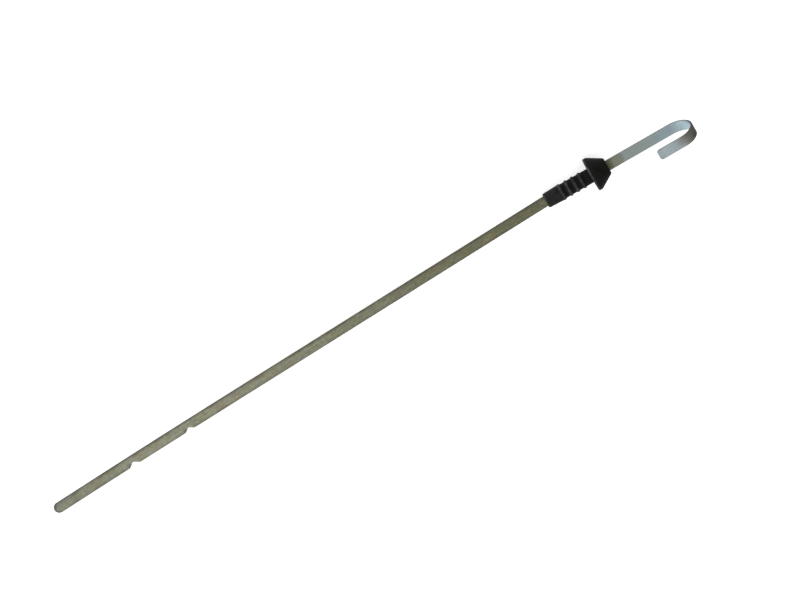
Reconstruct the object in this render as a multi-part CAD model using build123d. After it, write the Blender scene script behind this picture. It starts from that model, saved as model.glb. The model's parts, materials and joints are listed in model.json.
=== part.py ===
from build123d import *
import os
from math import asin, atan2, degrees, radians, sin, tan

# Engine oil dipstick: a flat spring-steel strip, bent over at its upper end into a hook handle,
# with a black rubber stopper moulded round it.
# It lies face up on its lower end and on the rim of the stopper's cap, with the hook standing up.
# X runs from the tip to the hook and Z is up from the floor. Millimetres and degrees.

# Flat strip
strip_width = 6.3
strip_thickness = 1.1
strip_edge_chamfer = 0.2
blade_length = 311.9

# Slight upward curl of the blade's lower end, and slight bend where it enters the stopper
curl_length = 110.0
curl_radius = 3800.0
set_angle = 4.4
set_radius = 15.0

# Level notches in one edge of the blade, measured from its tip
low_level = 49.6
low_notch_depth = 2.4
full_level = 84.7
full_notch_depth = 2.0
notch_angle = 102.0
notch_root_radius = 0.8

# Hook handle, bent from the strip above the stopper
hook_leg_length = 38.4
wide_bend_radius = 11.5
wide_bend_angle = 68.0
tight_bend_radius = 8.1
tight_bend_angle = 111.2
hook_return_length = 15.2
hook_end_corner_radius = 1.6

# Rubber stem that plugs the dipstick tube, from its mouth up to the cap
stem_diameter = 8.3
mouth_edge_radius = 0.7
cuff_length = 8.9
cuff_rise = 0.35
neck_length = 4.5

# Sealing ribs round the stem, the first of them at the cuff's end
rib_count = 4
rib_pitch = 4.1
rib_height = 0.55
rib_land_width = 0.5
rib_flank_width = 0.75

# Conical cap above the stem
rim_diameter = 19.1
rim_height = 2.2
rim_edge_radius = 0.5
cone_height = 8.2
cap_top_diameter = 9.6
cap_top_chamfer = 0.4

half_width = strip_width / 2
half_thickness = strip_thickness / 2
cut_reach = strip_thickness + curl_length**2 / curl_radius
rib_base_width = rib_land_width + 2 * rib_flank_width
ribs_length = (rib_count - 1) * rib_pitch + rib_base_width
stem_length = cuff_length + ribs_length + neck_length
stopper_length = stem_length + rim_height + cone_height


def strip_side(height):
    """Line of the strip's side from its tip to the hook's end, at a height above its middle."""
    curl_angle = degrees(curl_length / curl_radius)
    set_start = (blade_length - set_radius * radians(set_angle), height)
    blade = Line((curl_length, height), set_start)
    curl = JernArc(blade @ 0, (-1, 0), curl_radius - height, -curl_angle)
    strip_set = JernArc(blade @ 1, blade % 1, set_radius - height, set_angle)
    leg_run = stopper_length + hook_leg_length
    leg = Line(strip_set @ 1, strip_set @ 1 + leg_run * (strip_set % 1))
    wide_bend = JernArc(leg @ 1, leg % 1, wide_bend_radius - height, wide_bend_angle)
    tight_bend = JernArc(wide_bend @ 1, wide_bend % 1, tight_bend_radius - height, tight_bend_angle)
    back = Line(tight_bend @ 1, tight_bend @ 1 + hook_return_length * (tight_bend % 1))
    return [curl, blade, strip_set, leg, wide_bend, tight_bend, back]


def bend_strip():
    """Flat wire of one width, bent along its side line, with rounded corners at the hook's end."""
    inner = strip_side(half_thickness)
    outer = strip_side(-half_thickness)
    tip_end = Line(outer[0] @ 1, inner[0] @ 1)
    hook_end = Line(inner[-1] @ 1, outer[-1] @ 1)
    profile = make_face(inner + outer + [tip_end, hook_end])
    strip = extrude(Plane.XZ * profile, half_width, both=True)
    end_face = strip.faces().sort_by_distance(Plane.XZ.from_local_coords(hook_end @ 0.5))[0]
    return fillet(end_face.edges().sort_by(SortBy.LENGTH)[:2], hook_end_corner_radius)


def tip_waste():
    """What is cut off the strip's lower end to leave a half-round tip."""
    end = Rectangle(strip_width, 2 * strip_width, align=(Align.MAX, Align.CENTER))
    return Pos(half_width, 0, 0) * extrude(end - Circle(half_width), cut_reach, both=True)


def level_notch(from_tip, depth):
    """V cut with a rounded root, through the thickness and open past the strip's edge."""
    half_angle = radians(notch_angle / 2)
    root_y = depth + notch_root_radius * (1 / sin(half_angle) - 1) - half_width
    open_y = -strip_width
    half_mouth = (root_y - open_y) * tan(half_angle)
    left = (from_tip - half_mouth, open_y)
    right = (from_tip + half_mouth, open_y)
    flanks = FilletPolyline(left, (from_tip, root_y), right, radius=notch_root_radius)
    return extrude(make_face(flanks.edges() + [Line(right, left)]), cut_reach, both=True)


def ease_edges(strip):
    """Break the strip's long edges and those of the hook's end, but not the sheared tip."""
    corner_angle = 45
    corners = []
    for edge in strip.edges():
        middle = edge @ 0.5
        first, second = strip.faces().filter_by(lambda face: edge in face.edges())
        turn = first.normal_at(middle).get_angle(second.normal_at(middle))
        if turn > corner_angle and middle.X > half_width:
            corners.append(edge)
    return chamfer(corners, strip_edge_chamfer)


def make_stopper():
    """Rubber moulding turned about X from its mouth: tapered cuff, ribs, neck and conical cap."""
    sharp = 0
    stem_radius = stem_diameter / 2
    rib_radius = stem_radius + rib_height
    rim_radius = rim_diameter / 2
    rim_top = stem_length + rim_height
    cap_top_radius = cap_top_diameter / 2
    corners = [(0, stem_radius, mouth_edge_radius)]
    foot_radius = stem_radius + cuff_rise
    for rib in range(rib_count):
        rib_start = cuff_length + rib * rib_pitch
        land_start = rib_start + rib_flank_width
        land_end = land_start + rib_land_width
        corners.append((rib_start, foot_radius, sharp))
        corners.append((land_start, rib_radius, sharp))
        corners.append((land_end, rib_radius, sharp))
        corners.append((land_end + rib_flank_width, stem_radius, sharp))
        foot_radius = stem_radius
    corners.append((stem_length, stem_radius, sharp))
    corners.append((stem_length, rim_radius, rim_edge_radius))
    corners.append((rim_top, rim_radius, rim_edge_radius))
    corners.append((stopper_length - cap_top_chamfer, cap_top_radius, sharp))
    corners.append((stopper_length, cap_top_radius - cap_top_chamfer, sharp))
    points = [(along, radius) for along, radius, rounding in corners]
    wall = FilletPolyline((0, 0), points, (stopper_length, 0), radius=[corner[2] for corner in corners])
    return revolve(make_face(wall.edges() + [Line(wall @ 1, wall @ 0)]), Axis.X)


strip = ease_edges(bend_strip()) - tip_waste()
strip -= level_notch(low_level, low_notch_depth)
strip -= level_notch(full_level, full_notch_depth)

mouth_middle = Plane.XZ.from_local_coords(strip_side(0)[2] @ 1)
stopper_place = Pos(mouth_middle) * Rot(0, -set_angle, 0)
stopper = stopper_place * make_stopper() - strip

# The floor touches the curled end's lower face and the rounded lower edge of the cap's rim
curl_centre = Vector(curl_length, 0, curl_radius)
rim_edge_place = Pos(stem_length + rim_edge_radius, 0, rim_edge_radius - rim_diameter / 2)
span = (stopper_place * rim_edge_place).position - curl_centre
drop = curl_radius + half_thickness - rim_edge_radius
rest_slope = -degrees(atan2(span.Z, span.X) + asin(drop / span.length))
lie_down = Rot(0, -rest_slope, 0)
lying_box = (lie_down * Compound([strip, stopper])).bounding_box()
to_floor = Pos(-lying_box.center().X, 0, -lying_box.min.Z) * lie_down

os.makedirs("parts", exist_ok=True)
export_step(to_floor * strip, "parts/blade.step")
export_step(to_floor * stopper, "parts/stopper.step")
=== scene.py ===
import json
from math import atan2, cos, pi, radians, sin, tan

import bmesh
import bpy
from mathutils import Matrix, Vector


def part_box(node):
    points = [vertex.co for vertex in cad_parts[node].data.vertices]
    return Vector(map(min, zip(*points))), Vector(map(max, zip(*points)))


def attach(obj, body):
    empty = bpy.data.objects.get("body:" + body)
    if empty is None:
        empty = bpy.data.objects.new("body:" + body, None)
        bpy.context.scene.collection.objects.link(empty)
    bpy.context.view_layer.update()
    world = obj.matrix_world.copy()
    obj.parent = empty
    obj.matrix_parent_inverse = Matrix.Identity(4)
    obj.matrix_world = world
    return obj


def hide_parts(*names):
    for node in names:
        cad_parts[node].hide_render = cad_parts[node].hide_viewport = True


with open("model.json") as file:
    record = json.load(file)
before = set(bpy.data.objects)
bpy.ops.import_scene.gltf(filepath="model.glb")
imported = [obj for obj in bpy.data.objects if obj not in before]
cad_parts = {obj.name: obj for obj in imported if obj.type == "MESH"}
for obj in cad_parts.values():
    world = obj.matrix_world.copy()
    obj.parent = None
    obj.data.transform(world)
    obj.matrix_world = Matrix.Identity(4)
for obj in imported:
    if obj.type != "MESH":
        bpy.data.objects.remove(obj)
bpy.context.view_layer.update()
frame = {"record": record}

# Flat strip: one length of spring steel rolled flat and zinc plated, cropped half round at the tip
# and nibbled with two level notches in one edge.
# Its upper end is bent cold, in a wide and then a tighter bend, into the hook it is pulled out by.
mm = 0.001
strip_width = 6.3 * mm
strip_thickness = 1.1 * mm
rolled_edge_radius = 0.2 * mm
rolled_edge_segments = 3
blade_length = 311.9 * mm
curl_length = 110.0 * mm
curl_radius = 3800.0 * mm
curl_steps = 20
set_angle = radians(4.4)
set_radius = 15.0 * mm
set_steps = 6
stopper_length = 38.1 * mm
hook_leg_length = 38.4 * mm
wide_bend_radius = 11.5 * mm
wide_bend_angle = radians(68.0)
wide_bend_steps = 24
tight_bend_radius = 8.1 * mm
tight_bend_angle = radians(111.2)
tight_bend_steps = 36
hook_return_length = 15.2 * mm
hook_end_corner_radius = 1.6 * mm
hook_end_segments = 6
tip_segments = 14
level_notches = [(49.6 * mm, 2.4 * mm), (84.7 * mm, 2.0 * mm)]
notch_half_angle = radians(51.0)
notch_root_radius = 0.8 * mm
notch_root_segments = 6

mounts = {mount["name"]: mount for mount in frame["record"]["mounts"]}
stem_axis = -Vector(mounts["stem"]["axis"])
leg_slope = atan2(stem_axis.z, stem_axis.x)
rest_slope = leg_slope - set_angle


def select_parts(piece, kind, wanted):
    """Select only the faces or edges of the piece in edit mode that the test accepts."""
    bpy.ops.mesh.select_mode(type=kind)
    bpy.ops.mesh.select_all(action="DESELECT")
    mesh = bmesh.from_edit_mesh(piece.data)
    for part in mesh.faces if kind == "FACE" else mesh.edges:
        if wanted(part):
            part.select_set(True)
    mesh.select_flush_mode()
    bmesh.update_edit_mesh(piece.data)


def close_mesh():
    """Merge doubled points and turn all faces outwards."""
    merge_distance = 0.002 * mm
    bpy.ops.mesh.select_all(action="SELECT")
    bpy.ops.mesh.remove_doubles(threshold=merge_distance)
    bpy.ops.mesh.normals_make_consistent(inside=False)


def cut_away(piece, cutter):
    """Cut the cutter's shape out of the piece and drop the cutter."""
    cut = piece.modifiers.new("cut", "BOOLEAN")
    cut.object = cutter
    cut.solver = "EXACT"
    bpy.context.view_layer.objects.active = piece
    bpy.ops.object.modifier_apply(modifier=cut.name)
    bpy.data.objects.remove(cutter)


def bend_end(angle, radius, start, heading, steps):
    """Carry the selected end face round a bend towards its upper side, and say where it comes out."""
    centre = start + radius * Vector((-sin(heading), 0, cos(heading)))
    bpy.ops.mesh.spin(steps=steps, angle=angle, center=centre, axis=(0, 1, 0))
    heading += angle
    return centre + radius * Vector((sin(heading), 0, -cos(heading))), heading


def run_end(length, start, heading):
    """Carry the selected end face straight on, and say where it comes out."""
    step = length * Vector((cos(heading), 0, sin(heading)))
    bpy.ops.mesh.extrude_region_move(TRANSFORM_OT_translate={"value": step})
    return start + step


bpy.ops.object.select_all(action="DESELECT")
bpy.ops.mesh.primitive_plane_add(size=1.0)
strip = bpy.context.active_object
strip.name = "dipstick_strip"
bpy.ops.object.mode_set(mode="EDIT")
bpy.ops.transform.resize(value=(strip_thickness, strip_width, 1.0))
bpy.ops.transform.rotate(value=pi / 2, orient_axis="Y", center_override=(0, 0, 0))
blade_start = Vector((curl_length, 0, 0))
bpy.ops.transform.translate(value=blade_start)

curl_angle = curl_length / curl_radius
curl_centre = blade_start + Vector((0, 0, curl_radius))
bpy.ops.mesh.spin(steps=curl_steps, angle=curl_angle, center=curl_centre, axis=(0, -1, 0))
select_parts(strip, "FACE", lambda face: (face.calc_center_median() - blade_start).length < strip_thickness)
set_start = run_end(blade_length - set_radius * set_angle - curl_length, blade_start, 0)
mouth, heading = bend_end(set_angle, set_radius, set_start, 0, set_steps)
wide_bend_start = run_end(stopper_length + hook_leg_length, mouth, heading)
tight_bend_start, heading = bend_end(
    wide_bend_angle, wide_bend_radius, wide_bend_start, heading, wide_bend_steps
)
return_start, heading = bend_end(
    tight_bend_angle, tight_bend_radius, tight_bend_start, heading, tight_bend_steps
)
hook_end = run_end(hook_return_length, return_start, heading)
close_mesh()


def stands_at(edge, point):
    """Whether an edge goes through the strip's thickness at one of its ends."""
    first, second = edge.verts
    upright = abs(first.co.y - second.co.y) < strip_thickness / 10
    short = edge.calc_length() < 1.5 * strip_thickness
    middle = (first.co + second.co) / 2
    return upright and short and (middle - point).length < strip_width


tip = curl_centre - curl_radius * Vector((sin(curl_angle), 0, cos(curl_angle)))
select_parts(strip, "EDGE", lambda edge: stands_at(edge, tip))
bpy.ops.mesh.bevel(offset=strip_width / 2, segments=tip_segments, affect="EDGES")
select_parts(strip, "EDGE", lambda edge: stands_at(edge, hook_end))
bpy.ops.mesh.bevel(offset=hook_end_corner_radius, segments=hook_end_segments, affect="EDGES")
close_mesh()
bpy.ops.object.mode_set(mode="OBJECT")

nibbler_reach = strip_width
half_diagonal = 0.5 ** 0.5
nibbler_grow = nibbler_reach / half_diagonal
near_root = 0.1 * mm
for from_tip, depth in level_notches:
    sharp_root = depth + notch_root_radius * (1 / sin(notch_half_angle) - 1) - strip_width / 2
    bpy.ops.object.select_all(action="DESELECT")
    bpy.ops.mesh.primitive_cube_add(size=1.0)
    nibbler = bpy.context.active_object
    bpy.ops.object.mode_set(mode="EDIT")
    bpy.ops.transform.rotate(value=pi / 4, orient_axis="Z", center_override=(0, 0, 0))
    bpy.ops.transform.resize(value=(nibbler_grow * tan(notch_half_angle), nibbler_grow, nibbler_reach))
    bpy.ops.transform.translate(value=(from_tip, sharp_root - nibbler_reach, 0))
    select_parts(nibbler, "EDGE", lambda edge: min(vert.co.y for vert in edge.verts) > sharp_root - near_root)
    root_offset = notch_root_radius / tan(notch_half_angle)
    bpy.ops.mesh.bevel(offset=root_offset, segments=notch_root_segments, affect="EDGES")
    bpy.ops.object.mode_set(mode="OBJECT")
    cut_away(strip, nibbler)

rounding = strip.modifiers.new("rounding", "BEVEL")
rounding.width = rolled_edge_radius
rounding.segments = rolled_edge_segments
rounding.limit_method = "ANGLE"
rounding.angle_limit = radians(35)
rounding.harden_normals = False
bpy.ops.object.select_all(action="DESELECT")
strip.select_set(True)
bpy.context.view_layer.objects.active = strip
bpy.ops.object.modifier_apply(modifier=rounding.name)
bpy.ops.object.shade_smooth_by_angle(angle=radians(30))
strip.data.transform(Matrix.Rotation(-rest_slope, 4, "Y"))
lowest = Vector(min(vert.co[axis] for vert in strip.data.vertices) for axis in range(3))
strip.data.transform(Matrix.Translation(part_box("blade")[0] - lowest))


def put(tree, kind, inputs=None, **settings):
    """Add a shader node; each input is a value or the socket that feeds it."""
    node = tree.nodes.new("ShaderNode" + kind)
    for name, value in settings.items():
        setattr(node, name, value)
    for name, value in (inputs or {}).items():
        if isinstance(value, bpy.types.NodeSocket):
            tree.links.new(value, node.inputs[name])
        else:
            node.inputs[name].default_value = value
    return node


def work_out(tree, operation, first, second):
    """One sum on two values."""
    return put(tree, "Math", {0: first, 1: second}, operation=operation).outputs[0]


def times(tree, first, second):
    """Two masks at once, or a share of one."""
    return work_out(tree, "MULTIPLY", first, second)


def steer(tree, operation, first, second=(0, 0, 0)):
    """One sum on two vectors, which gives a vector or a number."""
    node = put(tree, "VectorMath", {0: first, 1: second}, operation=operation)
    gives_number = operation in ("DISTANCE", "DOT_PRODUCT", "LENGTH")
    return node.outputs["Value" if gives_number else "Vector"]


def cloud(tree, place, lumps, detail):
    """Noise between 0 and 1, with the given number of lumps a metre along each axis."""
    spread = steer(tree, "MULTIPLY", place, lumps)
    return put(tree, "TexNoise", {"Vector": spread, "Scale": 1.0, "Detail": detail}).outputs[0]


def rise(tree, value, start, end):
    """Go smoothly from 0 where the value is at start to 1 at end, which may be below start."""
    limits = {"Value": value, "From Min": start, "From Max": end}
    return put(tree, "MapRange", limits, interpolation_type="SMOOTHSTEP").outputs[0]


def within(tree, value, start, full, waning, end):
    """Go smoothly from 0 to 1 and back to 0 while the value passes four places."""
    return times(tree, rise(tree, value, start, full), rise(tree, value, end, waning))


def spot(tree, place, centre, size):
    """A soft round spot, 1 in its middle and 0 from its size outwards."""
    return rise(tree, steer(tree, "DISTANCE", place, centre), size, 0.0)


def stretch(tree, value, low, high, start=0.0, end=1.0):
    """Bring a value that goes from start to end into the range from low to high."""
    limits = {"Value": value, "From Min": start, "From Max": end, "To Min": low, "To Max": high}
    return put(tree, "MapRange", limits).outputs[0]


def lay_over(tree, mask, under, over, share=1.0):
    """Cover one colour with another where the mask says, by no more than the given share."""
    if share < 1.0:
        mask = times(tree, mask, share)
    return put(tree, "Mix", {0: mask, 6: under, 7: over}, data_type="RGBA").outputs[2]


def tone(tree, colour, strength):
    """Make a colour lighter or darker."""
    return put(tree, "VectorMath", {0: colour, "Scale": strength}, operation="SCALE").outputs[0]


# Fine scratches along X, kept to patches, as a shared mask
scuffs = bpy.data.node_groups.new("scuff_marks", "ShaderNodeTree")
scuffs.interface.new_socket("Place", in_out="INPUT", socket_type="NodeSocketVector")
scuffs.interface.new_socket("Patches", in_out="INPUT", socket_type="NodeSocketFloat")
scuffs.interface.new_socket("Mask", in_out="OUTPUT", socket_type="NodeSocketFloat")
group_in = scuffs.nodes.new("NodeGroupInput")
group_out = scuffs.nodes.new("NodeGroupOutput")
hairline_lumps = (45, 5200, 5200)
patch_lumps = (150, 260, 260)
hairlines = rise(scuffs, cloud(scuffs, group_in.outputs["Place"], hairline_lumps, detail=1.0), 0.63, 0.7)
patches = cloud(scuffs, group_in.outputs["Place"], patch_lumps, detail=2.0)
patches = work_out(scuffs, "ADD", patches, group_in.outputs["Patches"])
scratched = times(scuffs, hairlines, rise(scuffs, patches, 0.5, 0.68))
scuffs.links.new(scratched, group_out.inputs["Mask"])

steel = bpy.data.materials.new("zinc_plated_strip")
steel.use_nodes = True
tree = steel.node_tree
shader = tree.nodes["Principled BSDF"]
texture = put(tree, "TexCoord")
place = texture.outputs["Object"]
normal = texture.outputs["Normal"]
place_axes = put(tree, "SeparateXYZ", {0: place})
normal_axes = put(tree, "SeparateXYZ", {0: normal})
lengthwise = place_axes.outputs["X"]
crosswise = place_axes.outputs["Y"]
upwards = place_axes.outputs["Z"]

# Dry oil film on the blade, darker towards the stopper, blotched brown and green
film_pale = (0.388, 0.385, 0.320, 1)
film_dark = (0.180, 0.176, 0.118, 1)
film_tip = (0.190, 0.192, 0.165, 1)
film_brown = (0.37, 0.30, 0.165, 1)
film_green = (0.25, 0.262, 0.175, 1)
film_olive = (0.15, 0.155, 0.085, 1)
film_darkens_towards_stopper = (-150 * mm, 140 * mm)
dipped_end = (-152 * mm, -166 * mm)
blot_lumps = (110, 240, 240)
speckle_lumps = (420, 800, 800)
mottle_lumps = (520, 760, 760)
streak_lumps = (14, 1200, 1200)
fleck_tints = [((580, 930, 930), (1.04, 1.0, 0.74, 1)), ((450, 700, 700), (0.94, 1.04, 0.84, 1))]
film = lay_over(tree, rise(tree, lengthwise, *film_darkens_towards_stopper), film_pale, film_dark)
film = lay_over(tree, rise(tree, lengthwise, *dipped_end), film, film_tip, share=0.22)
blots = cloud(tree, place, blot_lumps, detail=3.0)
film = lay_over(tree, rise(tree, blots, 0.52, 0.72), film, film_brown, share=0.45)
speckle = cloud(tree, place, speckle_lumps, detail=3.0)
film = lay_over(tree, rise(tree, speckle, 0.5, 0.72), film, film_green, share=0.4)
for lumps, tint in fleck_tints:
    flecks = rise(tree, cloud(tree, place, lumps, detail=2.0), 0.48, 0.66)
    tinted = put(tree, "Mix", {0: flecks, 6: film, 7: tint}, data_type="RGBA", blend_type="MULTIPLY")
    film = tinted.outputs[2]
mottle = stretch(tree, cloud(tree, place, mottle_lumps, detail=3.0), 0.54, 1.5)
streaks = stretch(tree, cloud(tree, place, streak_lumps, detail=2.0), 0.72, 1.3)
film = tone(tree, film, times(tree, mottle, streaks))
drop_height = 0.6 * mm
drop_share = 0.35
dried_drops = [
    (-186, 1.4, 4.0, film_olive),
    (-172, 0.4, 5.0, film_brown),
    (-145, -0.6, 6.0, film_brown),
    (-136, -0.5, 4.0, film_brown),
    (-94, -1.0, 8.0, film_brown),
    (-59, 0.6, 5.0, film_brown),
]
for along, aside, size, tint in dried_drops:
    drop = spot(tree, place, (along * mm, aside * mm, drop_height), size * mm)
    film = lay_over(tree, drop, film, tint, share=drop_share)

# Bare zinc on the leg, painted brighter and bluer towards the hook and brightest on its return as painted
# reflection, and greyer where the return's end is handled
zinc_leg = (0.345, 0.405, 0.383, 1)
zinc_bend_painted_reflection = (0.375, 0.467, 0.495, 1)
zinc_hook_painted_reflection = (0.402, 0.507, 0.552, 1)
zinc_return_painted_reflection = (0.475, 0.56, 0.575, 1)
zinc_handled = (0.38, 0.41, 0.41, 1)
zinc_speckle = (0.34, 0.35, 0.38, 1)
leg_upper_half = (170 * mm, 188 * mm)
hook_begins = (188.0 * mm, 191.8 * mm)
return_height = (28 * mm, 31 * mm)
return_end = (179.5 * mm, 175.5 * mm)
zinc = lay_over(tree, rise(tree, lengthwise, *leg_upper_half), zinc_leg, zinc_bend_painted_reflection)
zinc = lay_over(tree, rise(tree, lengthwise, *hook_begins), zinc, zinc_hook_painted_reflection)
on_return = rise(tree, upwards, *return_height)
zinc = lay_over(tree, on_return, zinc, zinc_return_painted_reflection)
handled = times(tree, rise(tree, lengthwise, *return_end), on_return)
zinc = lay_over(tree, handled, zinc, zinc_handled, share=0.35)
zinc = lay_over(tree, rise(tree, speckle, 0.45, 0.7), zinc, zinc_speckle, share=0.25)

# The film ends raggedly above the cap, yellowed there, and is darkest against the rubber, partly grime and
# partly painted shade where the strip meets the cap
film_yellowed = (0.288, 0.290, 0.205, 1)
film_grime_and_shade_at_cap = (0.068, 0.080, 0.026, 1)
ragged_lumps = (300, 500, 300)
ragged_depth = 3.0 * mm
film_wiped = (147.5 * mm, 155.5 * mm)
wiped_share = 0.55
film_gone = (157.3 * mm, 159.1 * mm)
yellow_band = (149.5 * mm, 152.5 * mm, 155.0 * mm, 158.0 * mm)
cap_grime_and_shade_band = (147.0 * mm, 148.0 * mm, 151.5 * mm, 154.5 * mm)
ragged = times(tree, cloud(tree, place, ragged_lumps, detail=3.0), ragged_depth)
past_cap = work_out(tree, "SUBTRACT", lengthwise, ragged)
wiped = times(tree, rise(tree, past_cap, *film_wiped), wiped_share)
gone = times(tree, rise(tree, past_cap, *film_gone), 1 - wiped_share)
bare = work_out(tree, "ADD", wiped, gone)
colour = lay_over(tree, bare, film, zinc)
colour = lay_over(tree, within(tree, past_cap, *yellow_band), colour, film_yellowed, share=0.55)
colour = lay_over(tree, within(tree, lengthwise, *cap_grime_and_shade_band), colour, film_grime_and_shade_at_cap, share=0.6)

# Painted dark reflection on the tight bend's outside, brown where the return starts and olive and black
# further round, slanted across the strip
bend_reflection_brown = (0.285, 0.262, 0.238, 1)
bend_reflection_olive = (0.165, 0.16, 0.12, 1)
bend_reflection_black = (0.041, 0.041, 0.031, 1)
bend_centre = (190.72 * mm, 0, 24.88 * mm)
seen_from_side = (1, 0, 1)
bend_reach = (176 * mm, 182 * mm)
brown_turn = (radians(50), radians(80), radians(88), radians(136))
olive_turn = (radians(-25), radians(5), radians(48), radians(98))
black_turn = (radians(-25), radians(0), radians(36), radians(66))
browner_side = (-6.0 * mm, 2.0 * mm)
reflection_slant = 33.0
black_break_lumps = (60, 900, 60)
black_break_share = 0.5
outward = steer(tree, "MULTIPLY", steer(tree, "SUBTRACT", place, bend_centre), seen_from_side)
outward = steer(tree, "NORMALIZE", outward)
outward_axes = put(tree, "SeparateXYZ", {0: outward})
turn = work_out(tree, "ARCTAN2", outward_axes.outputs["Z"], outward_axes.outputs["X"])
outside = rise(tree, steer(tree, "DOT_PRODUCT", outward, normal), 0.2, 0.7)
outside = times(tree, outside, rise(tree, lengthwise, *bend_reach))
brown = times(tree, outside, within(tree, turn, *brown_turn))
brown = times(tree, brown, rise(tree, crosswise, *browner_side))
colour = lay_over(tree, brown, colour, bend_reflection_brown, share=0.98)
slanted_turn = work_out(tree, "ADD", turn, times(tree, crosswise, reflection_slant))
olive_reflection_mask = times(tree, outside, within(tree, slanted_turn, *olive_turn))
colour = lay_over(tree, olive_reflection_mask, colour, bend_reflection_olive, share=0.92)
black_breaks = rise(tree, cloud(tree, place, black_break_lumps, detail=2.0), 0.45, 0.68)
left_by_breaks = work_out(tree, "SUBTRACT", 1.0, times(tree, black_breaks, black_break_share))
black = times(tree, outside, within(tree, slanted_turn, *black_turn))
black = times(tree, black, left_by_breaks)
colour = lay_over(tree, black, colour, bend_reflection_black, share=0.92)

# Painted shade on the sheared sides and ends, nearly black by the tight bend as painted dark reflection, and
# on the film along them, beside the notches and round the tip
side_filmed_shade = (0.045, 0.045, 0.042, 1)
side_bare_shade = (0.22, 0.225, 0.23, 1)
side_dark_reflection = (0.04, 0.04, 0.035, 1)
film_edge_shade = (0.12, 0.118, 0.10, 1)
notch_shade = (0.10, 0.105, 0.10, 1)
tip_edge_shade = (0.13, 0.132, 0.125, 1)
straight_part = (186 * mm, 180 * mm)
side_reflection_reach = (188 * mm, 191 * mm)
side_reflection_turn = (radians(-35), radians(-5))
far_side_reach = (1.3 * mm, 3.0 * mm)
far_side_share = 0.42
near_side_reach = (-0.9 * mm, -2.7 * mm)
near_side_share = 0.35
notch_shade_spots = [(-152.0 * mm, -1.9 * mm, 1.3 * mm), (-116.8 * mm, -1.7 * mm, 1.3 * mm)]
notch_shade_size = 2.2 * mm
tip_centre = (-196.2 * mm, 0, 1.1 * mm)
tip_end = (-195.5 * mm, -197.5 * mm)
tip_ring = (1.2 * mm, 2.6 * mm)
end_on = times(tree, normal_axes.outputs["X"], rise(tree, lengthwise, *straight_part))
sideways = put(tree, "CombineXYZ", {"X": end_on, "Y": normal_axes.outputs["Y"]}).outputs[0]
sheared = rise(tree, steer(tree, "LENGTH", sideways), 0.45, 0.8)
side_colour = lay_over(tree, bare, side_filmed_shade, side_bare_shade)
# Painted dark reflection: the sides near the tight bend go nearly black
side_reflection_mask = rise(tree, slanted_turn, *side_reflection_turn)
side_reflection_mask = times(tree, side_reflection_mask, rise(tree, lengthwise, *side_reflection_reach))
side_colour = lay_over(tree, side_reflection_mask, side_colour, side_dark_reflection)
# Painted shade: the film is darkened in blotchy bands along both edges
far_side = times(tree, rise(tree, crosswise, *far_side_reach), far_side_share)
near_side = times(tree, rise(tree, crosswise, *near_side_reach), near_side_share)
edge_shade_mask = times(tree, work_out(tree, "ADD", far_side, near_side), work_out(tree, "SUBTRACT", 1.0, bare))
edge_shade_mask = times(tree, edge_shade_mask, stretch(tree, blots, 0.5, 1.5, start=0.38, end=0.64))
colour = lay_over(tree, edge_shade_mask, colour, film_edge_shade)
# Painted shade: a dark spot beside each notch
for notch_shade_place in notch_shade_spots:
    colour = lay_over(tree, spot(tree, place, notch_shade_place, notch_shade_size), colour, notch_shade, share=0.75)
# Painted shade: a dark ring along the rounded tip's edge
round_tip = rise(tree, steer(tree, "DISTANCE", place, tip_centre), *tip_ring)
round_tip = times(tree, round_tip, rise(tree, lengthwise, *tip_end))
colour = lay_over(tree, round_tip, colour, tip_edge_shade, share=0.7)
colour = lay_over(tree, sheared, colour, side_colour, share=0.9)

# Lines left by rolling, which follow the bends, and scuffs from the tube
scuff_pale = (0.62, 0.63, 0.6, 1)
round_bends = (1, 1, 0.01)
line_lumps = (25, 7000, 7000)
line_height = 0.5
blot_height = 0.6
metal_hidden = 0.9
rolled = steer(tree, "MULTIPLY", place, round_bends)
lines = cloud(tree, rolled, line_lumps, detail=2.0)
scuffed = put(tree, "Group", {"Place": rolled, "Patches": 0.04}, node_tree=scuffs).outputs["Mask"]
colour = lay_over(tree, scuffed, colour, scuff_pale, share=0.35)
colour = tone(tree, colour, stretch(tree, lines, 0.88, 1.12))
tree.links.new(colour, shader.inputs["Base Color"])
gloss = stretch(tree, lines, 0.31, 0.47)
for duller, by in ((sheared, 0.15), (black, 0.4), (bare, 0.07)):
    gloss = work_out(tree, "ADD", gloss, times(tree, duller, by))
tree.links.new(gloss, shader.inputs["Roughness"])
metal = work_out(tree, "SUBTRACT", 1.0, times(tree, black, metal_hidden))
tree.links.new(metal, shader.inputs["Metallic"])
height = work_out(tree, "ADD", times(tree, lines, line_height), times(tree, blots, blot_height))
relief = put(tree, "Bump", {"Height": height, "Strength": 0.5, "Distance": 0.02 * mm})
tree.links.new(relief.outputs["Normal"], shader.inputs["Normal"])
strip.data.materials.clear()
strip.data.materials.append(steel)
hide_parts("blade")
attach(strip, "root")

# Stopper: one moulding in black oil-proof rubber, moulded round the strip.
# Its cuff and four sealing ribs plug the dipstick tube, and the flat underside of its conical cap
# closes the tube's mouth.
stem_radius = 4.15 * mm
cuff_length = 8.9 * mm
cuff_rise = 0.35 * mm
rib_count = 4
rib_pitch = 4.1 * mm
rib_height = 0.55 * mm
rib_land_width = 0.5 * mm
rib_flank_width = 0.75 * mm
neck_length = 4.5 * mm
rim_radius = 9.55 * mm
rim_height = 2.2 * mm
cap_top_radius = 4.8 * mm
cap_top_chamfer = 0.4 * mm
mouth_rounding = 0.7 * mm
rim_rounding = 0.5 * mm
soft_rounding = 0.25 * mm
rounding_segments = 4
ring_sides = 128

rib_base_width = rib_land_width + 2 * rib_flank_width
ribs_length = (rib_count - 1) * rib_pitch + rib_base_width
stem_length = cuff_length + ribs_length + neck_length
rib_starts = [cuff_length + rib * rib_pitch for rib in range(rib_count)]

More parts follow.
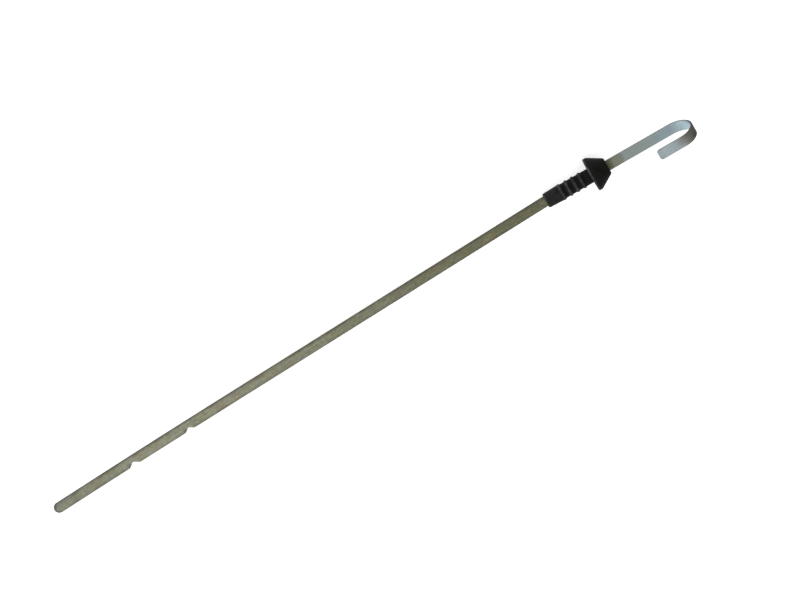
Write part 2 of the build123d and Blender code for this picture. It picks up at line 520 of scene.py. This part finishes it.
rings = [(0, stem_radius, mouth_rounding)]
foot_radius = stem_radius + cuff_rise
for rib_start in rib_starts:
    rib_end = rib_start + rib_base_width
    rings.append((rib_start, foot_radius, soft_rounding))
    rings.append((rib_start + rib_flank_width, stem_radius + rib_height, soft_rounding))
    rings.append((rib_end - rib_flank_width, stem_radius + rib_height, soft_rounding))
    rings.append((rib_end, stem_radius, soft_rounding))
    foot_radius = stem_radius
rings.append((stem_length, stem_radius, soft_rounding))
rings.append((stem_length, rim_radius, rim_rounding))
rings.append((stem_length + rim_height, rim_radius, rim_rounding))
rings.append((stopper_length - cap_top_chamfer, cap_top_radius, soft_rounding))
rings.append((stopper_length, cap_top_radius - cap_top_chamfer, soft_rounding))

bpy.ops.object.select_all(action="DESELECT")
bpy.ops.mesh.primitive_circle_add(vertices=ring_sides, radius=stem_radius, fill_type="NGON")
stopper = bpy.context.active_object
stopper.name = "rubber_stopper"
bpy.ops.object.mode_set(mode="EDIT")
bpy.ops.mesh.select_all(action="SELECT")
for (before, old_radius, _), (along, radius, _) in zip(rings, rings[1:]):
    bpy.ops.mesh.extrude_region_move(TRANSFORM_OT_translate={"value": (0, 0, along - before)})
    swell = radius / old_radius
    bpy.ops.transform.resize(value=(swell, swell, 1), center_override=(0, 0, along))
bpy.ops.mesh.select_all(action="SELECT")
bpy.ops.mesh.normals_make_consistent(inside=False)


def lies_on(edge, along, radius):
    """Whether an edge is part of a ring of the stopper."""
    near = 0.01 * mm
    return all(
        abs(vert.co.z - along) < near and abs(vert.co.xy.length - radius) < near for vert in edge.verts
    )


for along, radius, ring_rounding in rings:
    select_parts(stopper, "EDGE", lambda edge: lies_on(edge, along, radius))
    bpy.ops.mesh.bevel(offset=ring_rounding, segments=rounding_segments, affect="EDGES")
close_mesh()
bpy.ops.object.mode_set(mode="OBJECT")

bpy.ops.object.select_all(action="DESELECT")
bpy.ops.mesh.primitive_cube_add(size=1.0)
slot_cutter = bpy.context.active_object
bpy.ops.object.mode_set(mode="EDIT")
bpy.ops.transform.resize(value=(strip_thickness, strip_width, 2 * stopper_length))
bpy.ops.transform.translate(value=(0, 0, stopper_length / 2))
select_parts(slot_cutter, "EDGE", lambda edge: edge.calc_length() > stopper_length)
bpy.ops.mesh.bevel(offset=rolled_edge_radius, segments=rolled_edge_segments, affect="EDGES")
bpy.ops.object.mode_set(mode="OBJECT")
cut_away(stopper, slot_cutter)
bpy.ops.object.select_all(action="DESELECT")
stopper.select_set(True)
bpy.context.view_layer.objects.active = stopper
bpy.ops.object.shade_smooth_by_angle(angle=radians(40))

rib_middle = cuff_length + ribs_length / 2
mouth_place = Vector(mounts["stem"]["pos_m"]) - rib_middle * stem_axis
stopper.data.transform(Matrix.Translation(mouth_place) @ Matrix.Rotation(pi / 2 - leg_slope, 4, "Y"))


def away_from(tree, value, place):
    """How far a value is from a place, either way."""
    return put(tree, "Math", {0: work_out(tree, "SUBTRACT", value, place)}, operation="ABSOLUTE").outputs[0]


rubber = bpy.data.materials.new("black_oil_proof_rubber")
rubber.use_nodes = True
tree = rubber.node_tree
shader = tree.nodes["Principled BSDF"]
texture = put(tree, "TexCoord")
upright = put(tree, "Mapping", {"Vector": texture.outputs["Object"], "Rotation": (0, leg_slope, 0)})
place = upright.outputs["Vector"]
from_mouth = steer(tree, "SUBTRACT", texture.outputs["Object"], mouth_place)
off_axis = steer(tree, "LENGTH", steer(tree, "CROSS_PRODUCT", from_mouth, stem_axis))
up_stem = steer(tree, "DOT_PRODUCT", from_mouth, stem_axis)

# Black rubber with a faint bloom, painted paler on the cuff as painted light, oily on the cap's top, and with
# painted shade between the ribs
rubber_dark = (0.0117, 0.0113, 0.0110, 1)
rubber_bloom = (0.0160, 0.0156, 0.0151, 1)
rubber_scuffed = (0.02, 0.02, 0.019, 1)
rubber_painted_light = (0.0300, 0.0296, 0.0290, 1)
rubber_weeping = (0.0080, 0.0080, 0.0050, 1)
rubber_groove_shade = (0.0058, 0.0058, 0.0055, 1)
grain_lumps = (2600, 2600, 2600)
bloom_lumps = (240, 240, 240)
cuff_light_end = (cuff_length + 0.6 * mm, cuff_length - 0.3 * mm)
weeping_reach = (stem_length + 4.0 * mm, stopper_length - 1.0 * mm)
groove_offset = 0.75 * mm
groove_fade = (1.1 * mm, 0.3 * mm)
blooms = cloud(tree, place, bloom_lumps, detail=3.0)
colour = lay_over(tree, rise(tree, blooms, 0.35, 0.7), rubber_dark, rubber_bloom)
scuffed = put(tree, "Group", {"Place": place, "Patches": 0.06}, node_tree=scuffs).outputs["Mask"]
colour = lay_over(tree, scuffed, colour, rubber_scuffed, share=0.4)
# Painted light: the cuff is painted paler, in blotches
cuff_painted_light = times(tree, rise(tree, up_stem, *cuff_light_end), rise(tree, blooms, 0.2, 0.6))
colour = lay_over(tree, cuff_painted_light, colour, rubber_painted_light, share=0.75)
colour = lay_over(tree, rise(tree, up_stem, *weeping_reach), colour, rubber_weeping, share=0.35)
# Painted shade: the grooves between the ribs are painted darker
for rib_start in rib_starts:
    groove_place = rib_start + rib_base_width + groove_offset
    groove_shade = rise(tree, away_from(tree, up_stem, groove_place), *groove_fade)
    colour = lay_over(tree, groove_shade, colour, rubber_groove_shade, share=0.5)

# Painted highlights: the outer edges are painted lighter grey at the mouth, the cap's rim and the ribs,
# unevenly
edge_offset = 0.3 * mm
edge_fade = (1.0 * mm, 0.25 * mm)
edge_depth = (1.3 * mm, 0.3 * mm)
edge_warmth = 0.96
rib_highlight_greys = (0.150, 0.070, 0.076, 0.064)
edge_highlights = [(edge_offset, stem_radius, 0.075), (stem_length + edge_offset, rim_radius, 0.110)]
for rib_start, grey in zip(rib_starts, rib_highlight_greys):
    edge_highlights.append((rib_start + rib_base_width / 2, stem_radius, grey))
patchy_highlight = stretch(tree, blooms, 0.25, 1.0, start=0.36, end=0.6)
for edge_place, edge_radius, grey in edge_highlights:
    highlight = rise(tree, away_from(tree, up_stem, edge_place), *edge_fade)
    highlight = times(tree, highlight, patchy_highlight)
    highlight = times(tree, highlight, rise(tree, off_axis, *(edge_radius - depth for depth in edge_depth)))
    colour = lay_over(tree, highlight, colour, (grey, grey, edge_warmth * grey, 1))
tree.links.new(colour, shader.inputs["Base Color"])
tree.links.new(stretch(tree, blooms, 0.45, 0.7), shader.inputs["Roughness"])
shader.inputs["Specular IOR Level"].default_value = 0.03
grain = cloud(tree, place, grain_lumps, detail=3.0)
relief = put(tree, "Bump", {"Height": grain, "Strength": 0.5, "Distance": 0.02 * mm})
tree.links.new(relief.outputs["Normal"], shader.inputs["Normal"])
stopper.data.materials.clear()
stopper.data.materials.append(rubber)
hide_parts("stopper")
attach(stopper, "root")

# Floor: a plain pale sheet under the part.
# It glows a little, so that it stays white all over and keeps only a faint shadow.
floor_size = 8.0
floor_pale = (0.9, 0.9, 0.9, 1)
floor_glow = 0.62
bpy.ops.object.select_all(action="DESELECT")
bpy.ops.mesh.primitive_plane_add(size=floor_size)
floor = bpy.context.active_object
floor.name = "floor"
paper = bpy.data.materials.new("pale_floor")
paper.use_nodes = True
shader = paper.node_tree.nodes["Principled BSDF"]
shader.inputs["Base Color"].default_value = floor_pale
shader.inputs["Roughness"].default_value = 0.8
shader.inputs["Emission Color"].default_value = (1, 1, 1, 1)
shader.inputs["Emission Strength"].default_value = floor_glow
floor.data.materials.append(paper)

# Studio light: a surround that is brightest behind the part and towards its tip, a weak soft box
# low on the tip's side, and a large one beside the camera.
# Both boxes are dim enough that the strip doesn't flare white where it mirrors them.
darkest_way = Vector((0.45, 0.85, -0.28)).normalized()
wall_brightest = (0.82, 0.83, 0.85, 1)
wall_bright = (0.68, 0.68, 0.68, 1)
wall_grey = (0.28, 0.28, 0.28, 1)
wall_darkest = (0.08, 0.08, 0.08, 1)
world = bpy.data.worlds.new("studio")
world.use_nodes = True
tree = world.node_tree
sky = tree.nodes["Background"]
direction = put(tree, "TexCoord").outputs["Generated"]
turned = steer(tree, "DOT_PRODUCT", direction, darkest_way)
walls = put(tree, "ValToRGB", {"Fac": stretch(tree, turned, 0.0, 1.0, start=-1.0, end=1.0)})
walls.color_ramp.elements[0].color = wall_brightest
walls.color_ramp.elements[1].color = wall_darkest
walls.color_ramp.elements.new(0.2).color = wall_bright
walls.color_ramp.elements.new(0.5).color = wall_grey
tree.links.new(walls.outputs["Color"], sky.inputs["Color"])
sky.inputs["Strength"].default_value = 1.0
bpy.context.scene.world = world


def soft_box(name, direction, size, power, colour):
    """Hang a square soft light off the part's middle, facing it."""
    distance = 2.2
    light = bpy.data.lights.new(name, "AREA")
    light.shape = "SQUARE"
    light.size = size
    light.energy = power
    light.color = colour
    lamp = bpy.data.objects.new(name, light)
    bpy.context.scene.collection.objects.link(lamp)
    away = Vector(direction).normalized()
    lamp.location = distance * away
    lamp.rotation_euler = away.to_track_quat("Z", "Y").to_euler()
    lamp.visible_camera = False


soft_box("key_box", (-0.92, 0.1, 0.38), size=1.6, power=12.0, colour=(0.95, 0.98, 1.0))
soft_box("front_box", (0.0, 0.489, 0.872), size=2.2, power=15.0, colour=(1.0, 1.0, 1.0))

# Camera: above and beyond the far side, as in the photograph.
# It is turned about its own line of sight, so that the part lies slantwise across the picture.
picture_width = 786
camera_distance = 1.8
pixels_per_metre = 1863.7
aim = Vector((15.035 * mm, -1.237 * mm, 5.0 * mm))
azimuth = radians(179.011)
elevation = radians(60.722)
roll = radians(148.107)
camera_data = bpy.data.cameras.new("camera")
camera_data.sensor_width = 36.0
camera_data.lens = camera_data.sensor_width * pixels_per_metre * camera_distance / picture_width
camera_data.clip_start = 0.05
camera = bpy.data.objects.new("camera", camera_data)
bpy.context.scene.collection.objects.link(camera)
camera.matrix_world = (
    Matrix.Translation(aim)
    @ Matrix.Rotation(azimuth, 4, "Z")
    @ Matrix.Rotation(pi / 2 - elevation, 4, "X")
    @ Matrix.Rotation(roll, 4, "Z")
    @ Matrix.Translation((0, 0, camera_distance))
)
bpy.context.scene.camera = camera
bpy.context.scene.view_settings.view_transform = "Standard"
